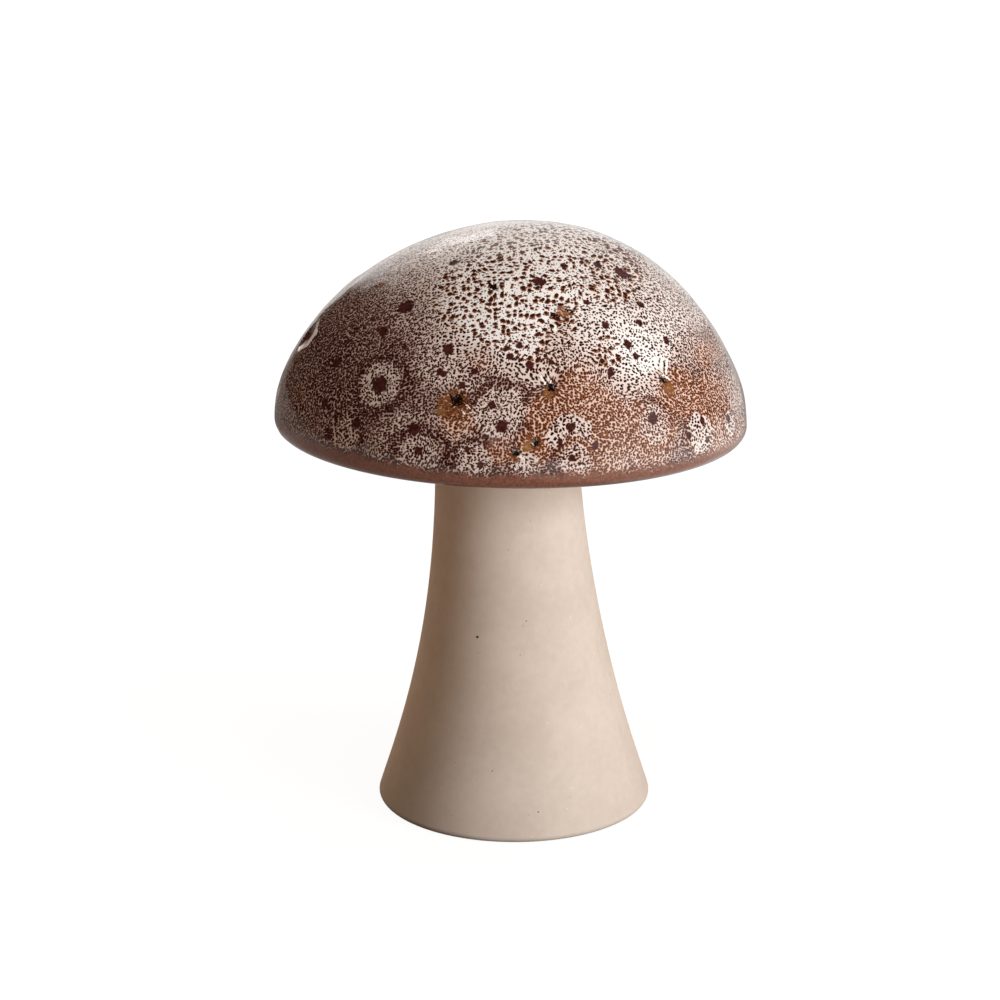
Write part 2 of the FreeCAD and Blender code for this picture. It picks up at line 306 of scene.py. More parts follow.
# Drops and lips of white glaze, and painted highlights and reflections as marked below: one end and half the
# width in pixels, then the other end
WHITE_DROPS_AND_HIGHLIGHTS = (
    (655, 357, 1.5, 657, 368), (661, 355, 1.3, 662, 370), (667, 360, 1.5, 666, 373),
    (664, 375, 1.2, 670, 380), (541, 376, 1.2, 545, 383), (548, 378, 1, 551, 382),
    # The second stroke on this line is a painted highlight: the glint on the rim of a pit
    (519, 456, 1.4, 524, 459), (533, 443, 1.2, 534, 445), (466, 404, 0.8, 470, 408),
    # The last stroke of this line and the first two of the next are a painted reflection: the bright crescent
    # on the wall of the dent
    (462, 411, 0.9, 465, 414), (469, 411, 0.7, 472, 415), (317, 323, 3.2, 315, 333),
    (315, 333, 4.4, 308, 343), (308, 343, 4.4, 299, 348), (555, 325, 1.3, 556, 333),
    # This line and the first stroke of the next are painted highlights: streaks of mirrored light along the
    # upper left edge
    (431, 257, 1.2, 443, 251), (446, 253, 1, 457, 248), (405, 264, 1, 419, 257),
    (392, 270, 0.9, 400, 265), (402, 338, 0.8, 407, 341), (407, 341, 0.8, 411, 340),
)
# Thin black cracks, in the same way
DARK_STROKES = (
    (552, 323, 1, 551, 328), (551, 328, 0.9, 553, 334), (544, 378, 0.9, 547, 386),
    (488, 283, 1.2, 497, 286), (566, 309, 1.6, 574, 311), (552, 315, 1.8, 560, 316),
    (450, 395, 1.1, 464, 404), (462, 393, 1, 452, 407), (660, 376, 1.1, 667, 382),
    (555, 304, 1, 566, 303), (545, 343, 0.9, 551, 340),
)
# Orange-brown ground, elsewhere maroon: x, y and reach in pixels
WARM_AREAS = (
    (600, 395, 34), (545, 415, 16), (458, 420, 14), (678, 392, 18), (692, 405, 14), (535, 448, 16),
    (500, 452, 12), (706, 352, 12), (715, 392, 18), (640, 435, 30), (720, 440, 24), (480, 355, 12),
    (600, 455, 30),
)
STREAKS = (430, 262, 62)  # x, y and reach in pixels of the lumpy part that mirrors in streaks
DENT = (307, 336, 13)  # x, y and radius in pixels of the dent by the left edge
# Pinholes in the stem: x and y in pixels, then half the width in millimetres
PINHOLES = ((477, 637, 0.32), (526, 621, 0.13), (492, 771, 0.14), (538, 812, 0.16), (520, 655, 0.09))
PINHOLE_LENGTH = 0.5  # pixels

# How the pixels' features spread
FADED = 25  # beyond this power of e nothing is left
LEAST_WEIGHT = 1e-12
NEARLY_EDGE_ON, WELL_SEEN = 0.02, 0.22  # cosines to the camera from which the photograph is followed
HIDDEN_SHARE = 0.3
PATCH_RING_SHARE, PATCH_RING_MIDDLE, PATCH_RING_WIDTH = 0.9, 1.2, 0.2  # dark ring round a pale patch
PATCH_EDGE = (0.9, 1.08)
PATCH_WOBBLE = 0.22
FARTHEST = 4.0  # in radii of a spot or pit
AMBER_POWER = 4
YELLOW_WIDTH = 1.2

# The sides that the photograph doesn't show: how many features, how far apart, from and to which height
# and the ranges of their sizes in millimetres and of their shares
REAR_PATCHES = (16, 11, 4, 24), (3, 6.5), (0.5, 0.72)
REAR_SPOTS = (90, 4.5, 4, TOP), (0.7, 1.5)
REAR_BLISTERS = (11, 16, 8, TOP), (0.9, 1.8), (0.05, 0.25)
REAR_SPOT_POWER = 1.6
REAR_AMBER_REACHES = (1.5, 3.4)  # in radii of the pit
REAR_YELLOW_SHARES = (0, 0.6)
# How white the glaze is there, by the height
REAR_WHITE_LEAST, REAR_WHITE_MORE = 0.18, 0.6
REAR_WHITE_HEIGHTS = (8, 34)
REAR_WHITE_WAVE = 6
REAR_WHITE_PATCHES = 0.22
REAR_WARM_SHARE = 0.8
REAR_WARM_WAVES = (-0.3, 0.4)
REAR_HOLEY_WAVES = (-0.4, 0.2)
WHITE_LEAST, WHITE_LEAST_WARM = 0.14, 0.16
# The brown band above the rim is higher on the left and lower on the right
BAND_SIDES = (10, 45)
BAND_LEFT, BAND_RIGHT = 1.8, 1.2


# Shared helpers


def smooth(low, high, value):
    share = np.clip((value - low) / (high - low), 0, 1)
    return share * share * (3 - 2 * share)


def bell(value, middle, width, power=2):
    """1 at the middle, falling off on both sides."""
    return np.exp(-(((value - middle) / width) ** power))


def normalised(vectors):
    return vectors / np.linalg.norm(vectors, axis=-1, keepdims=True)


def to_pixels(points):
    """Where points fall in the photograph's frame."""
    seen = points - CAMERA_PLACE
    depth = seen @ FORWARD
    x = PHOTO_WIDTH / 2 + FOCAL * (seen @ RIGHT) / depth
    y = PHOTO_WIDTH / 2 - FOCAL * (seen @ UP) / depth
    return np.stack([x, y], axis=-1)


def pixel_ray(x, y):
    across = (x - PHOTO_WIDTH / 2) / FOCAL
    above = (PHOTO_WIDTH / 2 - y) / FOCAL
    return normalised(FORWARD + across * RIGHT + above * UP)


def add_object(name, data):
    made = bpy.data.objects.new(name, data)
    bpy.context.scene.collection.objects.link(made)
    return made


def mesh_object(name, points, faces):
    mesh = bpy.data.meshes.new(name)
    mesh.from_pydata([tuple(p) for p in points * MM], [], faces)
    mesh.validate()
    mesh.polygons.foreach_set("use_smooth", [True] * len(mesh.polygons))
    return add_object(name, mesh)


def add_attribute(piece, name, values):
    """A number or a vector for each of the piece's points, for its material to read."""
    kind, key = ("FLOAT", "value") if values.ndim == 1 else ("FLOAT_VECTOR", "vector")
    attribute = piece.data.attributes.new(name, kind, "POINT")
    attribute.data.foreach_set(key, values.astype(np.float32).ravel())


def stitch(first_a, count_a, first_b, count_b):
    """Triangles between an outer ring b and an inner ring a, whose points start at the same angle."""
    faces = []
    i = j = 0
    while i < count_a or j < count_b:
        if (j + 1) * count_a <= (i + 1) * count_b:
            faces.append((first_a + i % count_a, first_b + j, first_b + (j + 1) % count_b))
            j += 1
        else:
            faces.append((first_a + i, first_b + j % count_b, first_a + (i + 1) % count_a))
            i += 1
    return faces


# Cap mesh


def arc(middle, height, radius, start, end):
    """Rings along an arc of the cap's section, as radius, height and point spacing."""
    count = round(radius * abs(start - end) / DOME_STEP)
    for i in range(1, count + 1):
        angle = start + (end - start) * i / count
        yield middle + radius * math.cos(angle), height + radius * math.sin(angle), DOME_STEP


def cap_rings():
    """The rings from the top, over the widest circle, where the height is 0, to the glaze's inner edge."""
    rim_end = math.asin(CORNER_RADIUS / (DISH_RADIUS + RIM_ROUNDING)) - math.pi / 2
    rings = [
        *arc(0, CROWN_MIDDLE, CROWN_RADIUS, math.pi / 2, BROW_END),
        *arc(CAP_RADIUS - BROW_RADIUS, 0, BROW_RADIUS, BROW_END, 0),
        *arc(CORNER_RADIUS, 0, RIM_ROUNDING, 0, rim_end),
    ]
    start = rings[-1][0]
    count = round((start - BARE_RADIUS) / UNDERSIDE_STEP)
    for i in range(1, count + 1):
        radius = start + (BARE_RADIUS - start) * i / count
        height = DISH_TOP - DISH_RADIUS + math.sqrt(DISH_RADIUS**2 - radius**2)
        rings.append((radius, height, UNDERSIDE_STEP))
    rings.append((BARE_RADIUS, rings[-1][1] + GLAZE_THICKNESS, UNDERSIDE_STEP))
    return rings


def ring_middle(radius, height):
    """Where a ring's middle lies along X. The crown leans, and the inner edge follows the neck."""
    middle = CAP_LEAN * (max(height, 0) / CROWN_TOP) ** CAP_LEAN_POWER
    if height < UNDERSIDE_LIMIT and radius < CORNER_RADIUS:
        middle += NECK_X * float(smooth(CORNER_RADIUS, BARE_RADIUS, radius))
    return middle


def cap_mesh():
    """Points and triangles of the smooth cap."""
    points = [(CAP_LEAN, 0, CROWN_TOP)]
    faces = []
    first_before, count_before = 0, 1
    for radius, height, step in cap_rings():
        count = max(FEWEST_POINTS, round(2 * math.pi * radius / step))
        middle = ring_middle(radius, height)
        first = len(points)
        for i in range(count):
            angle = 2 * math.pi * i / count
            points.append((middle + radius * math.cos(angle), radius * math.sin(angle), height))
        if count_before == 1:
            faces += [(0, first + i, first + (i + 1) % count) for i in range(count)]
        else:
            faces += stitch(first_before, count_before, first, count)
        first_before, count_before = first, count
    x, y, z = np.array(points).T
    cos, sin = math.cos(CAP_TURN), math.sin(CAP_TURN)
    return np.stack([x * cos + z * sin, y, z * cos - x * sin + RIM_HEIGHT], axis=-1), faces


def point_normals(points, faces):
    corners = np.array(faces)
    a, b, c = points[corners[:, 0]], points[corners[:, 1]], points[corners[:, 2]]
    across = np.cross(b - a, c - a)
    normals = np.zeros_like(points)
    for k in range(3):
        np.add.at(normals, corners[:, k], across)
    return normalised(normals)


class Cap:
    """The cap's points, with the places of the glaze's features on them."""

    def __init__(self):
        self.points, self.faces = cap_mesh()
        self.normals = point_normals(self.points, self.faces)
        self.tree = BVHTree.FromPolygons([tuple(p) for p in self.points], self.faces)
        self.pixels = to_pixels(self.points)
        self.facing = (self.normals * normalised(CAMERA_PLACE - self.points)).sum(1)
        self.seen = smooth(NEARLY_EDGE_ON, WELL_SEEN, self.facing)
        self.random = np.random.default_rng(SEED)
        self.height = self.points[:, 2] - RIM_HEIGHT

    def place(self, x, y):
        """The point of the cap that the photograph shows at this pixel."""
        return np.array(self.tree.ray_cast(Vector(CAMERA_PLACE), Vector(pixel_ray(x, y)))[0])

    def size(self, place, pixels):
        """How long this many pixels are at this place."""
        return pixels * ((place - CAMERA_PLACE) @ FORWARD) / FOCAL

    def placed(self, table):
        """The rows of a table of pixels on the cap: place, size, and what follows in the row."""
        rows = []
        for x, y, radius, *rest in table:
            place = self.place(x, y)
            rows.append((place, self.size(place, radius), *rest))
        return rows

    def spread(self, areas, power=1):
        """For each area, 1 at its pixel of the photograph, falling off over its reach."""
        for x, y, reach, *share in areas:
            apart = np.sum((self.pixels - (x, y)) ** 2, axis=1) / (2 * reach**2)
            yield np.exp(-np.minimum(apart**power, FADED)), *share

    def in_areas(self, areas, power=1):
        return np.max([near for near, in self.spread(areas, power)], axis=0)

    def scattered(self, count, apart, low, high):
        """Random places on the sides that the photograph doesn't show, at least this far apart."""
        hidden = np.flatnonzero((self.seen < HIDDEN_SHARE) & (self.height > low) & (self.height < high))
        places = []
        for index in self.random.permutation(hidden):
            place = self.points[index]
            if all(np.linalg.norm(place - other) > apart for other in places):
                places.append(place)
            if len(places) == count:
                break
        return places

    def features(self, table, rear):
        """A table's rows on the cap, then random ones on the other sides."""
        spacing, *ranges = rear
        rows = self.placed(table)
        for place in self.scattered(*spacing):
            rows.append((place, *[self.random.uniform(*limits) for limits in ranges]))
        return rows

    def distance(self, place):
        return np.linalg.norm(self.points - place, axis=1)

    def nearest(self, features):
        """Distance to the nearest of some features, in its own radii."""
        away = [self.distance(place) / radius for place, radius, *rest in features]
        return np.minimum(np.min(away, axis=0), FARTHEST)

    def wavy(self, period, seed):
        """A smooth random number, about -1 to 1, for each point."""
        shift = Vector(seed * SEED_SHIFT)
        return np.array([noise.noise(Vector(p) / period + shift) for p in self.points])

    def joined(self, front, behind):
        """What the photograph shows, carried on by what was made up for the other sides."""
        return front * self.seen + behind * (1 - self.seen)


# Features of the glaze


def chart(points, side):
    """Where points fall on a flat map of equal areas, drawn from the front (-1) or from behind (1)."""
    out = normalised(points - np.array([0, 0, RIM_HEIGHT + CROWN_MIDDLE]))
    axis = np.array([0, side * math.cos(CHART_ELEVATION), math.sin(CHART_ELEVATION)])
    up = np.cross(axis, RIGHT) * side
    stretch = CROWN_RADIUS * np.sqrt(2 / np.maximum(1 + out @ axis, CHART_LEAST))
    zero = np.zeros(len(points))
    return np.stack([stretch * (out @ RIGHT), stretch * (out @ up), zero], axis=-1)


def drawn_charts(cap, blisters):
    """Both flat maps, made uneven and drawn out round the blisters."""
    charts = [chart(cap.points, -1), chart(cap.points, 1)]
    for axis in (0, 1):
        shift = sum(size * cap.wavy(period, seed + axis) for size, period, seed in CHART_WAVES)
        for drawn in charts:
            drawn[:, axis] += shift
    for place, radius, pull in blisters:
        away = cap.distance(place)
        reach = DRAWN_REACH_SHARE * radius + DRAWN_REACH
        near = away < reach
        slower = pull * (reach / np.maximum(away[near], DRAWN_NEAREST) - 1)
        slower = slower * smooth(0, DRAWN_EDGE_SHARE, 1 - away[near] / reach)
        for drawn in charts:
            direction = drawn[near] - drawn[np.argmin(away)]
            drawn[near] += direction * np.minimum(slower, 1)[:, None]
    return charts


def uneven_place(cap):
    """The points' places, shifted to and fro, for the noises of the glaze."""
    place = cap.points.copy()
    for k, period in enumerate(PATTERN_PERIODS):
        for axis in range(3):
            place[:, axis] += PATTERN_SHIFT_SHARE * period * cap.wavy(period, PATTERN_SEED + 3 * k + axis)
    return place


def white_share(cap, warm):
    """How much of the glaze is white, from the named areas and, behind, from the height."""
    total = np.zeros(len(cap.points))
    weight = np.full(len(cap.points), LEAST_WEIGHT)
    for near, share in cap.spread(WHITE_AREAS):
        total += near * share
        weight += near
    height = cap.height + REAR_WHITE_WAVE * cap.wavy(period=14, seed=1)
    behind = REAR_WHITE_LEAST + REAR_WHITE_MORE * smooth(*REAR_WHITE_HEIGHTS, height)
    behind += REAR_WHITE_PATCHES * cap.wavy(period=9, seed=2)
    share = pale_patches_over(cap, cap.joined(total / weight, behind))
    return np.maximum(share, WHITE_LEAST + WHITE_LEAST_WARM * warm)


def pale_patches_over(cap, share):
    """Round patches with a share of white of their own, each in a darker ring."""
    edge = 1 + PATCH_WOBBLE * cap.wavy(period=2.5, seed=3)
    for place, radius, inside in cap.features(PALE_PATCHES, REAR_PATCHES):
        away = cap.distance(place) / radius * edge
        share = share * (1 - PATCH_RING_SHARE * bell(away, PATCH_RING_MIDDLE, PATCH_RING_WIDTH))
        within = 1 - smooth(*PATCH_EDGE, away)
        share = share + within * (inside - share)
    return share


def spot_places(cap):
    spots = cap.placed(MAROON_SPOTS)
    for place, radius in cap.features((), REAR_SPOTS):
        spots.append((place, radius**REAR_SPOT_POWER))
    return spots


def amber_shares(cap, blisters):
    """How far the glaze is bare amber, and how yellow that is."""
    bare = np.zeros(len(cap.points))
    yellow = np.zeros(len(cap.points))
    areas = cap.placed(AMBER_AREAS)
    for place, radius, pull in blisters[len(BLISTERS):]:
        reach = radius * cap.random.uniform(*REAR_AMBER_REACHES)
        areas.append((place, reach, cap.random.uniform(*REAR_YELLOW_SHARES)))
    for place, reach, share in areas:
        away = cap.distance(place) / reach
        bare = np.maximum(bare, bell(away, 0, 1, AMBER_POWER))
        yellow = np.maximum(yellow, share * bell(away, 0, YELLOW_WIDTH))
    return bare, yellow


def warm_share(cap):
    """Where the ground is orange-brown."""
    behind = smooth(*REAR_WARM_WAVES, cap.wavy(period=16, seed=30))
    return cap.joined(cap.in_areas(WARM_AREAS), REAR_WARM_SHARE * behind)


def holey_share(cap):
    """Where the white glaze has the larger holes."""
    behind = smooth(*REAR_HOLEY_WAVES, cap.wavy(period=20, seed=31))
    return cap.joined(cap.in_areas(HOLE_AREAS, power=2), behind)


def relief_of(cap, blisters, spot, dent):
    """How far each point stands out from the smooth cap."""
    relief = WAVE_HEIGHT * cap.wavy(WAVE_PERIOD, seed=20) + RIPPLE_HEIGHT * cap.wavy(RIPPLE_PERIOD, seed=21)
    streaky, reach = cap.placed([STREAKS])[0]
    lumps = bell(cap.distance(streaky), 0, reach)
    relief += STREAK_HEIGHT * lumps * cap.wavy(RIPPLE_PERIOD, seed=22)
    for place, radius, pull in blisters:
        away = cap.distance(place)
        relief += LIP_HEIGHT * bell(away, LIP_MIDDLE_SHARE * radius, LIP_WIDTH_SHARE * radius)
        relief -= PIT_DEPTH * bell(away, 0, PIT_WIDTH_SHARE * radius)
    relief -= SPOT_DIP * bell(spot, 0, 1)
    relief -= DENT_DEPTH * bell(dent, 0, DENT_WIDTH_SHARE, DENT_POWER)
    relief += DENT_LIP_HEIGHT * bell(dent, DENT_LIP_MIDDLE_SHARE, DENT_LIP_WIDTH_SHARE)
    return np.minimum(relief * smooth(RELIEF_START, 0, cap.height), HIGHEST) - SURFACE_DROP


def band_height(cap):
    """Height above the widest circle, as the brown band above the rim counts it."""
    x = cap.points[:, 0]
    return cap.height - BAND_LEFT * smooth(*BAND_SIDES, -x) + BAND_RIGHT * smooth(*BAND_SIDES, x)


def make_cap(cap):
    blisters = cap.features(BLISTERS, REAR_BLISTERS)
    amber, yellow = amber_shares(cap, blisters)
    charts = drawn_charts(cap, blisters)
    spot = cap.nearest(spot_places(cap))
    dent = cap.nearest(cap.placed([DENT]))
    warm = warm_share(cap)
    features = {
        "pattern": uneven_place(cap),
        "front_chart": charts[0],
        "rear_chart": charts[1],
        "chart_side": cap.facing + 0.5,
        "white_share": white_share(cap, warm),
        "spot": spot,
        "pit": cap.nearest(blisters),
        "amber": amber,
        "dent": dent,
        "yellow": yellow,
        "holey": holey_share(cap),
        "warm": warm,
        "above_rim": cap.height,
        "above_band": band_height(cap),
    }
    relief = relief_of(cap, blisters, spot, dent)
    piece = mesh_object("glaze_coat", cap.points + cap.normals * relief[:, None], cap.faces)
    for name, values in features.items():
        add_attribute(piece, name, values)
    return piece


def strokes_on(cap, strokes):
    """Both ends and half the width of each stroke, on the cap."""
    return [(start, cap.place(*end), half) for start, half, *end in cap.placed(strokes)]


# Stem


def pinholes_on(stem):
    """The pinholes of the stem, as short strokes in its own millimetres."""
    bpy.context.view_layer.update()
    tree = BVHTree.FromObject(stem, bpy.context.evaluated_depsgraph_get())
    inverse = stem.matrix_world.inverted()
    start = inverse @ Vector(CAMERA_PLACE * MM)
    placed = []
    for x, y, half in PINHOLES:
        ends = []
        for shift in (0, PINHOLE_LENGTH):
            towards = inverse.to_3x3() @ Vector(pixel_ray(x + shift, y))
            ends.append(np.array(tree.ray_cast(start, towards)[0]) / MM)
        placed.append((ends[0], ends[1], half))
    return placed


# Node trees


class Graph:
    """A short way to write a node tree."""

    def __init__(self, tree):
        self.tree = tree
        self.tree.nodes.clear()

    def add(self, kind, inputs=(), **settings):
        """A new node. Its inputs are sockets, numbers or names of colours."""
        made = self.tree.nodes.new(kind)
        for key, value in settings.items():
            setattr(made, key, value)
        for key, value in dict(inputs).items():
            if isinstance(value, bpy.types.NodeSocket):
                self.tree.links.new(value, made.inputs[key])
            else:
                made.inputs[key].default_value = colour(value) if isinstance(value, str) else value
        return made

    def sum(self, operation, *values):
        return self.add("ShaderNodeMath", enumerate(values), operation=operation).outputs[0]

    plus = partialmethod(sum, "ADD")
    minus = partialmethod(sum, "SUBTRACT")
    times = partialmethod(sum, "MULTIPLY")
    times_plus = partialmethod(sum, "MULTIPLY_ADD")
    larger = partialmethod(sum, "MAXIMUM")
    smaller = partialmethod(sum, "MINIMUM")

    def number(self, name):
        return self.add("ShaderNodeAttribute", attribute_name=name).outputs["Fac"]

    def vector(self, name):
        return self.add("ShaderNodeAttribute", attribute_name=name).outputs["Vector"]

    def noise(self, place, name, output="Fac"):
        values = dict(zip(("Scale", "Detail", "Distortion", "Roughness"), NOISES[name]))
        return self.add("ShaderNodeTexNoise", {"Vector": place, **values}).outputs[output]

    def uneven(self, place, name):
        """A number of the mesh, made uneven by the noise of the same name."""
        return self.times_plus(self.noise(place, name), UNEVEN_WEIGHTS[name], self.number(name))

    def step(self, value, name):
        """Goes smoothly from one number to another."""
        values = dict(zip(("From Min", "From Max", "To Min", "To Max"), STEPS[name]))
        made = self.add("ShaderNodeMapRange", {"Value": value, **values}, interpolation_type="SMOOTHSTEP")
        return made.outputs[0]

    def product(self, first, first_name, second, second_name):
        return self.times(self.step(first, first_name), self.step(second, second_name))

    def mix(self, share, first, second):
        return self.add("ShaderNodeMix", {0: share, 6: first, 7: second}, data_type="RGBA").outputs[2]

    def bump(self, height, distance, strength=1, **more):
        values = {"Height": height, "Distance": distance, "Strength": strength, **more}
        return self.add("ShaderNodeBump", values).outputs["Normal"]

    def vectors(self, operation, first, second=(0, 0, 0), output=0):
        return self.add("ShaderNodeVectorMath", {0: first, 1: second}, operation=operation).outputs[output]

    def scaled(self, vector, factor):
        return self.add("ShaderNodeVectorMath", {0: vector, "Scale": factor}, operation="SCALE").outputs[0]

    def parts(self, vector):
        made = self.add("ShaderNodeSeparateXYZ", {0: vector})
        return [made.outputs[axis] for axis in "XYZ"]

    def millimetres(self):
        """The place on the object, in millimetres."""
        return self.scaled(self.add("ShaderNodeTexCoord").outputs["Object"], 1 / MM)

    def strokes(self, place, strokes):
        """Distance to the nearest of some straight strokes, in their half widths."""
        nearest = None
        for start, end, half in strokes:
            along = end - start
            offset = self.vectors("SUBTRACT", place, tuple(start))
            share = self.vectors("DOT_PRODUCT", offset, tuple(along / along.dot(along)), "Value")
            share = self.smaller(self.larger(share, 0), 1)
            away = self.vectors("DISTANCE", offset, self.scaled(tuple(along), share), "Value")
            away = self.sum("DIVIDE", away, half)
            nearest = away if nearest is None else self.smaller(nearest, away)
        return nearest

    def dots(self, place, scale):
        """Distance to the nearest of many scattered points, in units of their spacing."""
        return self.add("ShaderNodeTexVoronoi", {"Vector": place, "Scale": scale}).outputs["Distance"]

    def seen_rays(self):
        """1 for the rays that the camera sees by, straight or through glass, and 1 for those that mirror."""
        path = self.add("ShaderNodeLightPath")
        seen = self.larger(path.outputs["Is Camera Ray"], path.outputs["Is Transmission Ray"])
        return seen, path.outputs["Is Glossy Ray"]

    def finish(self, inputs):
        shader = self.add("ShaderNodeBsdfPrincipled", inputs)
        self.add("ShaderNodeOutputMaterial", {"Surface": shader.outputs[0]})


def new_material(name):
    material = bpy.data.materials.new(name)
    material.use_nodes = True
    return material, Graph(material.node_tree)


def colour(name):
    """A named colour, turned into the light that it stands for."""
    shown = Color([value / FULL_COLOUR for value in COLOURS[name]])
    return (*shown.from_srgb_to_scene_linear(), 1)


# Materials


def clay_material(name, tone, grain_height, foot_shade_share=0.0, pinholes=()):
    """Bare fired clay with a fine grain, faint blotches, tiny pores, a few pinholes and, where asked for,
    painted shade towards the foot.
    """
    material, graph = new_material(name)
    shade = tone + "_shade"
    place = graph.millimetres()
    blotches = graph.noise(place, "blotches")
    grain = graph.noise(place, "grain")
    shaded = graph.times(blotches, BLOTCH_WEIGHT)
    shaded = graph.times_plus(graph.noise(place, "mottle"), MOTTLE_WEIGHT, shaded)
    body = graph.mix(graph.step(shaded, "clay_shade"), tone, shade)
    body = graph.mix(graph.step(grain, "clay_grain"), body, shade)
    # Painted shade: the clay gets darker towards the foot, standing in for the shadow by the floor
    height = graph.times_plus(blotches, FOOT_SHADE_WAVE, graph.parts(place)[2])
    body = graph.mix(graph.times(graph.step(height, "handled"), foot_shade_share), body, "handled")
    dots = {}
    for name, (scale, share) in CLAY_DOTS.items():
        dots[name] = graph.step(graph.dots(place, scale), name)
        body = graph.mix(graph.times(dots[name], share), body, name)
    relief = graph.minus(graph.times(grain, GRAIN_WEIGHT), dots["pore"])
    if pinholes:
        hole = graph.step(graph.strokes(place, pinholes), "pinhole")
        body = graph.mix(graph.times(hole, PINHOLE_SHARE), body, "pinhole")
        relief = graph.minus(relief, graph.times(hole, PINHOLE_DEPTH))
    normal = graph.bump(relief, grain_height, CLAY_BUMP_STRENGTH)
    graph.finish({"Base Color": body, "Roughness": CLAY_ROUGHNESS, "Normal": normal})
    return material


def dots_on(graph, chart, scale, ragged, randomness):
    """Distance to the nearest of scattered points, that point's own random number and its place."""
    values = {"Vector": chart, "Scale": scale, "Randomness": randomness}
    made = graph.add("ShaderNodeTexVoronoi", values, voronoi_dimensions="2D")
    away = graph.times_plus(ragged, RAGGED_EDGE, graph.minus(made.outputs["Distance"], RAGGED_EDGE / 2))
    pick = graph.add("ShaderNodeSeparateColor", {0: made.outputs["Color"]}).outputs[0]
    return away, pick, made.outputs["Position"]


def web_depth(graph, chart, share, size, ragged):
    """How deep inside a dark dot each place is, below 0 in the white web round the dots."""
    depths = []
    for scale in WEB_SCALES:
        away, pick = dots_on(graph, chart, scale, ragged, WEB_RANDOMNESS)[:2]
        radius = graph.times_plus(share, DOT_SHRINK, DOT_RADIUS)
        radius = graph.plus(radius, graph.times_plus(pick, DOT_VARIATION, -DOT_VARIATION / 2))
        depths.append(graph.minus(radius, away))
    return graph.times_plus(depths[1], graph.minus(1.0, size), graph.times(depths[0], size))


def hole_depths(graph, chart, ragged):
    """How deep inside a larger hole each place is, and the same without the hole's lower side."""
    away, pick, middle = dots_on(graph, chart, HOLE_SCALE, ragged, HOLE_RANDOMNESS)
    depth = graph.minus(graph.step(pick, "hole_radius"), away)
    tilt = graph.vectors("DOT_PRODUCT", graph.vectors("SUBTRACT", chart, middle), HOLE_TILT, "Value")
    return depth, graph.plus(depth, tilt)


def pattern_depths(graph, place, share, holey):
    """Depths in the dots, in the holes and in the holes' middles, by the chart that fits each side."""
    ragged = graph.noise(place, "ragged")
    size = graph.step(share, "coarse_web")
    between = graph.times(holey, graph.step(share, "holes_thicken"))
    web_share = graph.times_plus(between, HOLEY_SHARE, share)
    drift = graph.noise(place, "drift", "Color")
    both = []
    for name in ("front_chart", "rear_chart"):
        chart = graph.vectors("ADD", graph.vector(name), graph.scaled(drift, DRIFT))
        hole_chart = graph.vectors("ADD", graph.vector(name), graph.scaled(drift, HOLE_DRIFT))
        depth = web_depth(graph, chart, web_share, size, ragged)
        both.append((depth, *hole_depths(graph, hole_chart, ragged)))
    rear = graph.step(graph.number("chart_side"), "rear_chart")
    return [graph.times_plus(rear, graph.minus(behind, front), front) for front, behind in zip(*both)]


def glaze_network(graph, place, share, warm):
    """White glaze drawn up into a web round dark dots, with only specks where there is less of it."""
    holey = graph.number("holey")
    depth, hole_depth, middle_depth = pattern_depths(graph, place, share, holey)
    hole_share = graph.product(share, "holes_in_white", holey, "holes_here")
    hole_depth = graph.plus(hole_depth, graph.step(hole_share, "holes_shrink"))
    hole = graph.product(hole_depth, "hole_edge", hole_share, "holes_fade")
    white = graph.times(graph.step(depth, "web_edge"), graph.minus(1.0, hole))

    thick = graph.step(share, "thick")
    ground = graph.mix(thick, graph.mix(warm, "maroon_ground", "warm_ground"), "thick_ground")
    core = graph.mix(thick, graph.mix(warm, "maroon_core", "warm_core"), "thick_core")
    limit = graph.times_plus(graph.noise(place, "core"), CORE_WAVE, graph.times(warm, WARM_CORE))
    limit = graph.times(limit, graph.minus(1.0, graph.times(thick, THICK_CORE_SHARE)))
    dark = graph.mix(graph.step(graph.minus(depth, limit), "core"), ground, core)
    deep = graph.mix(graph.step(middle_depth, "hole_middle"), "hole_edge", "hole_middle")
    dark = graph.mix(hole, dark, deep)
    pale = graph.mix(warm, "maroon_web", "warm_web")
    pale = graph.mix(graph.step(share, "pale"), pale, "pale_web")
    pale = graph.mix(graph.step(share, "white"), pale, "white_web")
    return graph.mix(white, dark, pale)


def rim_over(graph, place, above, body):
    """The brown rim, where the white glaze has run off, with a darker line along its lower edge."""
    tone = graph.step(graph.noise(place, "rim_tone"), "mottled")
    rim = graph.mix(tone, "rim", "rim_shade")
    line = graph.step(graph.number("above_rim"), "rim_line")
    rim = graph.mix(graph.times(line, RIM_LINE_SHARE), rim, "rim_line")
    return graph.mix(graph.step(above, "rim"), body, rim)


def amber_over(graph, place, amber, body):
    """Amber glaze, with yellow where it has pooled."""
    tone = graph.step(graph.noise(place, "amber_tone"), "mottled")
    mottled = graph.mix(tone, "amber", "amber_shade")
    body = graph.mix(graph.times(amber, AMBER_SHARE), body, mottled)
    yellow = graph.step(graph.uneven(place, "yellow"), "yellow")
    return graph.mix(graph.times(yellow, YELLOW_SHARE), body, "yellow")


def spots_over(graph, place, body):
    """Maroon spots, black pits of the blisters and the bare dent."""
    tone = graph.mix(graph.step(graph.noise(place, "spot"), "spot_tone"), "spot", "spot_light")
    for name, tone in (("spot", tone), ("pit", "pit")):
        body = graph.mix(graph.step(graph.uneven(place, name), name), body, tone)
    return graph.mix(graph.step(graph.number("dent"), "dent"), body, "dent")


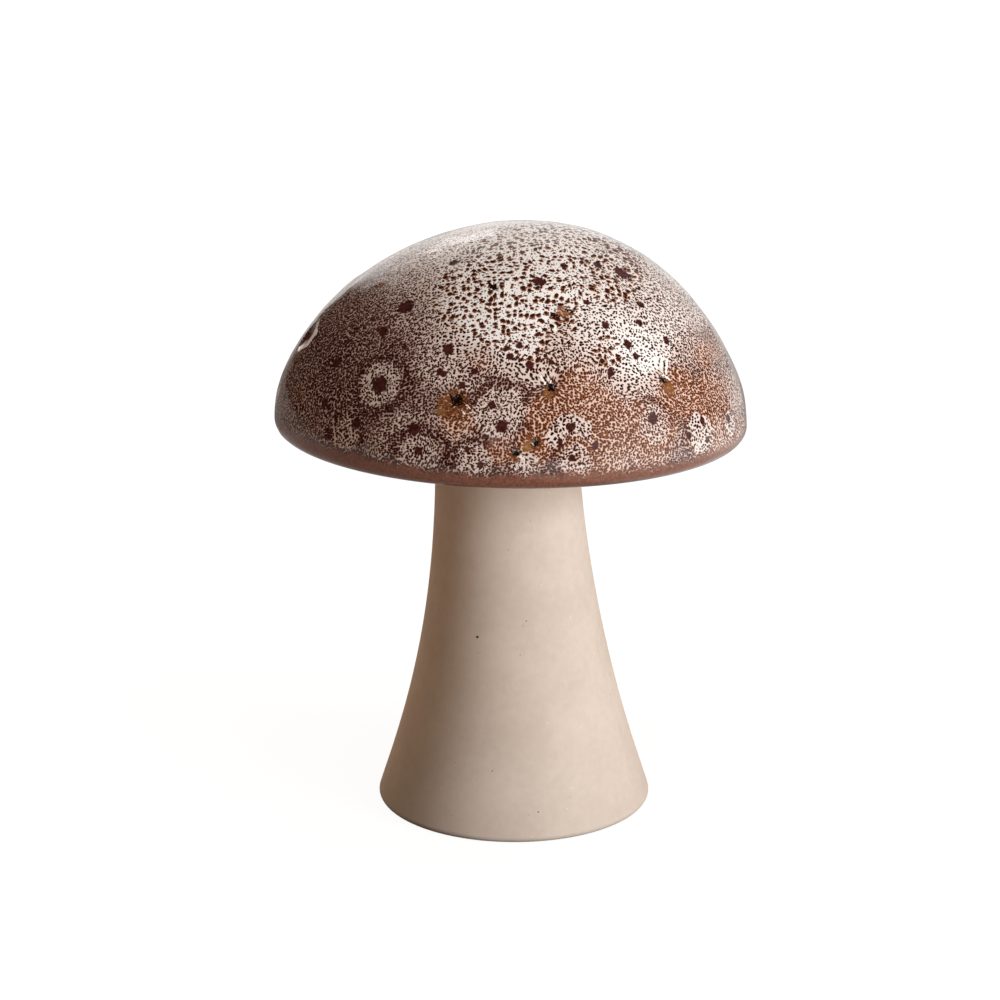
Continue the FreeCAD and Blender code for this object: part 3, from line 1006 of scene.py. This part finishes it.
def strokes_over(graph, place, white_drops_and_highlights, dark_strokes, body):
    """Thin black cracks, and over them drops and lips of white glaze and painted highlights and reflections.
    """
    shake = graph.vectors("SUBTRACT", graph.noise(place, "shake", "Color"), STROKE_SHIFT)
    shaken = graph.vectors("ADD", graph.millimetres(), shake)
    for strokes, tone in ((dark_strokes, "crack"), (white_drops_and_highlights, "drop")):
        body = graph.mix(graph.step(graph.strokes(shaken, strokes), "stroke"), body, tone)
    return body


def glaze_material(white_drops_and_highlights, dark_strokes):
    """White glaze drawn up into a web over brown, with maroon spots and burst blisters."""
    material, graph = new_material("reactive_glaze")
    place = graph.vector("pattern")
    patchy = graph.times_plus(graph.noise(place, "patchy"), PATCHY_WEIGHT, -PATCHY_WEIGHT / 2)
    share = graph.plus(graph.number("white_share"), patchy)
    above = graph.uneven(place, "above_band")
    share = graph.times(share, graph.step(above, "above_rim"))
    amber = graph.step(graph.uneven(place, "amber"), "amber")
    share = graph.minus(share, graph.times(amber, AMBER_BARE_SHARE))
    warm = graph.larger(graph.step(graph.uneven(place, "warm"), "warm"), amber)
    body = glaze_network(graph, place, share, warm)
    body = rim_over(graph, place, above, body)
    body = amber_over(graph, place, amber, body)
    body = spots_over(graph, place, body)
    body = strokes_over(graph, place, white_drops_and_highlights, dark_strokes, body)
    bowl = graph.bump(graph.step(graph.number("dent"), "bowl"), BOWL_HEIGHT)
    normal = graph.bump(graph.noise(place, "skin"), SKIN_HEIGHT, SKIN_STRENGTH, Normal=bowl)
    graph.finish({"Base Color": body, "Roughness": GLAZE_ROUGHNESS, "IOR": GLAZE_IOR, "Normal": normal})
    return material


# Studio


def mirrored_floor(graph, x, y):
    """How bright the glaze mirrors the floor: more on the right, and a backdrop behind."""
    mirrored = graph.product(x, "mirrored_x", y, "mirrored_y")
    near_right = graph.product(x, "near_right_x", y, "near_right_y")
    mirrored = graph.larger(mirrored, graph.times(near_right, NEAR_RIGHT_BRIGHTNESS))
    behind = graph.product(y, "behind_y", graph.times_plus(y, FLOOR_SLANT, x), "behind_x")
    return graph.larger(mirrored, behind)


def floor_material():
    """White to the camera, but it keeps a faint shadow."""
    material, graph = new_material("studio_floor")
    seen, glossy = graph.seen_rays()
    shown = graph.larger(seen, glossy)
    place = graph.add("ShaderNodeTexCoord").outputs["Object"]
    away = graph.vectors("LENGTH", place, output="Value")
    x, y = graph.parts(place)[:2]
    far = graph.mix(graph.step(x, "floor_left"), FLOOR_RIGHT, FLOOR_LEFT)
    given_back = graph.mix(graph.step(away, "floor_away"), FLOOR_NEAR, far)
    plain = graph.add("ShaderNodeBsdfDiffuse", {"Color": graph.mix(shown, given_back, FLOOR_SHOWN)})
    strength = graph.mix(seen, mirrored_floor(graph, x, y), graph.step(away, "floor_white"))
    lit = graph.add("ShaderNodeEmission", {"Color": (1, 1, 1, 1), "Strength": strength})
    both = graph.add("ShaderNodeAddShader", {0: plain.outputs[0], 1: lit.outputs[0]})
    mixed = graph.add("ShaderNodeMixShader", {0: shown, 1: plain.outputs[0], 2: both.outputs[0]})
    graph.add("ShaderNodeOutputMaterial", {"Surface": mixed.outputs[0]})
    return material


def make_floor():
    half, height = FLOOR_HALF_WIDTH, -FLOOR_DROP
    corners = [(-half, -half, height), (half, -half, height), (half, half, height), (-half, half, height)]
    mesh = bpy.data.meshes.new("floor")
    mesh.from_pydata(corners, [], [(0, 1, 2, 3)])
    mesh.materials.append(floor_material())
    floor = add_object("floor", mesh)


def mirrored_studio(graph, x, y, z):
    """What the glaze mirrors: a wide backdrop behind, and a soft panel in front on the right."""
    backdrop = graph.product(y, "backdrop_y", x, "backdrop_x")
    backdrop = graph.larger(backdrop, graph.product(y, "edge_y", x, "edge_x"))
    window = graph.product(x, "window_left", x, "window_right")
    window = graph.times(window, graph.product(z, "window_low", z, "window_high"))
    backdrop = graph.plus(backdrop, graph.times(window, WINDOW_BRIGHTNESS))
    end = graph.step(graph.times_plus(z, BACKDROP_SLANT, x), "backdrop_end")
    low = graph.larger(graph.step(z, "low_z"), graph.step(x, "low_x"))
    backdrop = graph.times(graph.times(backdrop, end), low)
    panel = graph.product(x, "panel_x", graph.times_plus(z, PANEL_SLANT, y), "panel_y")
    panel = graph.times(panel, graph.step(z, "panel_z"))
    return graph.larger(graph.larger(backdrop, panel), DARKEST)


def studio_fill(graph, x, y):
    """Soft light from all round, more of it from behind and most from behind on the left."""
    behind = graph.larger(y, 0.0)
    left = graph.times(graph.step(x, "fill_left"), FILL_REAR_LEFT)
    rear_left = graph.times(graph.sum("POWER", behind, FILL_REAR_LEFT_POWER), left)
    strength = graph.times_plus(graph.times(behind, behind), FILL_BEHIND, FILL_ROUND)
    return graph.scaled(colour("fill")[:3], graph.plus(strength, rear_left))


def make_world():
    world = bpy.data.worlds.new("studio")
    bpy.context.scene.world = world
    world.use_nodes = True
    graph = Graph(world.node_tree)
    seen, glossy = graph.seen_rays()
    x, y, z = graph.parts(graph.add("ShaderNodeTexCoord").outputs["Generated"])
    light = graph.mix(glossy, studio_fill(graph, x, y), mirrored_studio(graph, x, y, z))
    light = graph.mix(seen, light, (1, 1, 1, 1))
    background = graph.add("ShaderNodeBackground", {"Color": light, "Strength": 1.0})
    graph.add("ShaderNodeOutputWorld", {"Surface": background.outputs[0]})


def make_lamp(name, azimuth, elevation, distance, width, power):
    """A soft panel that faces the object. Azimuth counts from the camera's side to its right."""
    lamp = bpy.data.lights.new(name, "AREA")
    lamp.size = width
    lamp.energy = power
    lamp.color = LAMP_TINT
    holder = add_object(name, lamp)
    right, up = math.radians(azimuth), math.radians(elevation)
    level = math.cos(up)
    towards = Vector((math.sin(right) * level, -math.cos(right) * level, math.sin(up)))
    holder.location = Vector((0, 0, LAMP_AIM)) + towards * distance
    holder.rotation_euler = towards.to_track_quat("Z", "Y").to_euler()
    holder.visible_glossy = False
    holder.visible_camera = False


def make_camera():
    camera = bpy.data.cameras.new("camera")
    camera.lens = CAMERA_LENS
    camera.sensor_width = CAMERA_SENSOR
    holder = add_object("camera", camera)
    holder.location = Vector(CAMERA_PLACE * MM)
    holder.rotation_euler = (math.pi / 2 - CAMERA_ELEVATION, 0, 0)
    bpy.context.scene.camera = holder


# Assembly


def dress_clay(nodes):
    pinholes = pinholes_on(nodes["stem"])
    clays = {
        # The stem's clay gets painted shade towards its foot
        "stem": clay_material("bare_clay", "stem", CLAY_GRAIN, FOOT_SHADE_SHARE, pinholes),
        "cap_body": clay_material("cap_clay", "cap_clay", CLAY_GRAIN),
        "joining_slip": clay_material("dried_slip", "slip", SLIP_GRAIN),
    }
    for name, clay in clays.items():
        materials = nodes[name].data.materials
        materials.clear()
        materials.append(clay)


def main():
    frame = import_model()
    cap = Cap()
    piece = make_cap(cap)
    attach(piece, "root")
    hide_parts("cap_glaze")
    glaze = glaze_material(strokes_on(cap, WHITE_DROPS_AND_HIGHLIGHTS), strokes_on(cap, DARK_STROKES))
    piece.data.materials.append(glaze)
    dress_clay(frame["nodes"])
    make_floor()
    make_world()
    for name, values in LAMPS.items():
        make_lamp(name, *values)
    make_camera()
    bpy.context.scene.view_settings.view_transform = "Standard"


main()
